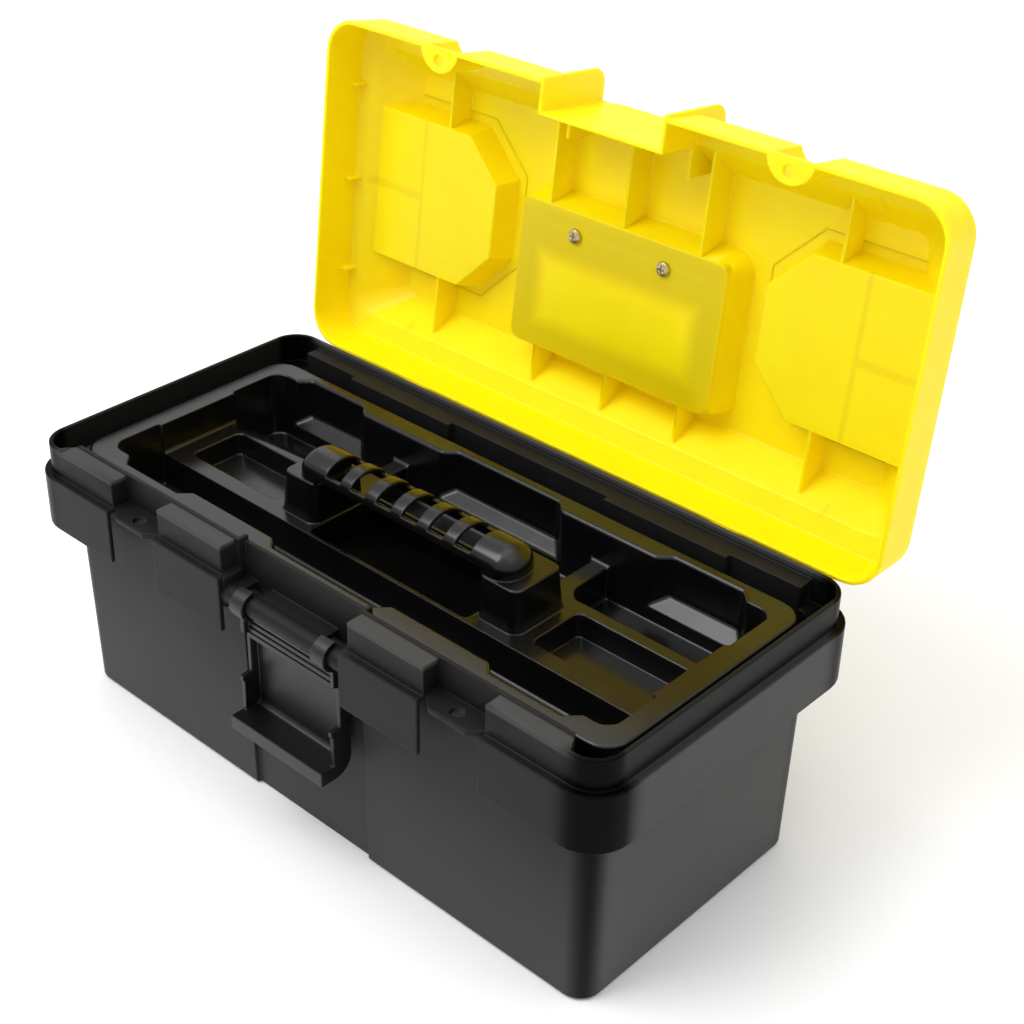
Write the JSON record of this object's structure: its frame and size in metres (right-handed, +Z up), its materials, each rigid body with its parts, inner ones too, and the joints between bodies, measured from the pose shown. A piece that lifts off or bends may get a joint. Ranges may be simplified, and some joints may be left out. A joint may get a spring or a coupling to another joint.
{
  "type": "toolbox",
  "caption": "Hand toolbox: deep tub with a hinged lid on end stops, front latch, fold-down carry handle, covered small-parts bins in the lid and a lift-out tote tray.",
  "frame": {"origin": "centre of the tub's flat bottom", "axes": "+X along the box, +Y towards the lid hinges, +Z up"},
  "size_m": [0.4, 0.2804, 0.3357],
  "materials": {
    "tub_black": "fine moulded grain",
    "tray_black": "semi-gloss moulded",
    "lid_yellow": "slightly translucent, satin",
    "cover_clear": "clear plastic",
    "screw_zinc": "yellow zinc plated",
    "pin_steel": "drawn wire"
  },
  "bodies": {
    "base": {"tub": "tub_black", "hinge_pin_left": "pin_steel", "hinge_pin_right": "pin_steel"},
    "lid": {"lid": "lid_yellow", "handle_bracket": "tub_black", "handle_screw_left": "screw_zinc", "handle_screw_right": "screw_zinc"},
    "tray": {"tote_tray": "tray_black"},
    "latch": {"front_latch": "tub_black"},
    "handle": {"carry_handle": "tub_black"},
    "cover_left": {"bin_cover_left": "cover_clear"},
    "cover_right": {"bin_cover_right": "cover_clear"}
  },
  "joints": [
    {"name": "lid_hinge", "type": "hinge", "parent": "base", "child": "lid", "pos_m": [0, 0.1034, 0.1357], "axis": [-1, 0, 0], "range_deg": [-96.64, 0]},
    {"name": "latch_pivot", "type": "hinge", "parent": "base", "child": "latch", "pos_m": [0, -0.0895, 0.1264], "axis": [1, 0, 0], "range_deg": [-178, 0]},
    {"name": "tray_lift", "type": "slide", "parent": "base", "child": "tray", "axis": [0, 0, 1], "range_m": [0, 0.08]},
    {"name": "handle_fold", "type": "hinge", "parent": "lid", "child": "handle", "pos_m": [0, 0.15669, 0.24497], "axis": [1, 0, 0], "range_deg": [0, 95]},
    {"name": "cover_left_hinge", "type": "hinge", "parent": "lid", "child": "cover_left", "pos_m": [0, 0.16567, 0.17939], "axis": [-1, 0, 0], "range_deg": [0, 105]},
    {"name": "cover_right_hinge", "type": "hinge", "parent": "lid", "child": "cover_right", "pos_m": [0, 0.16567, 0.17939], "axis": [-1, 0, 0], "range_deg": [0, 105]}
  ]
}
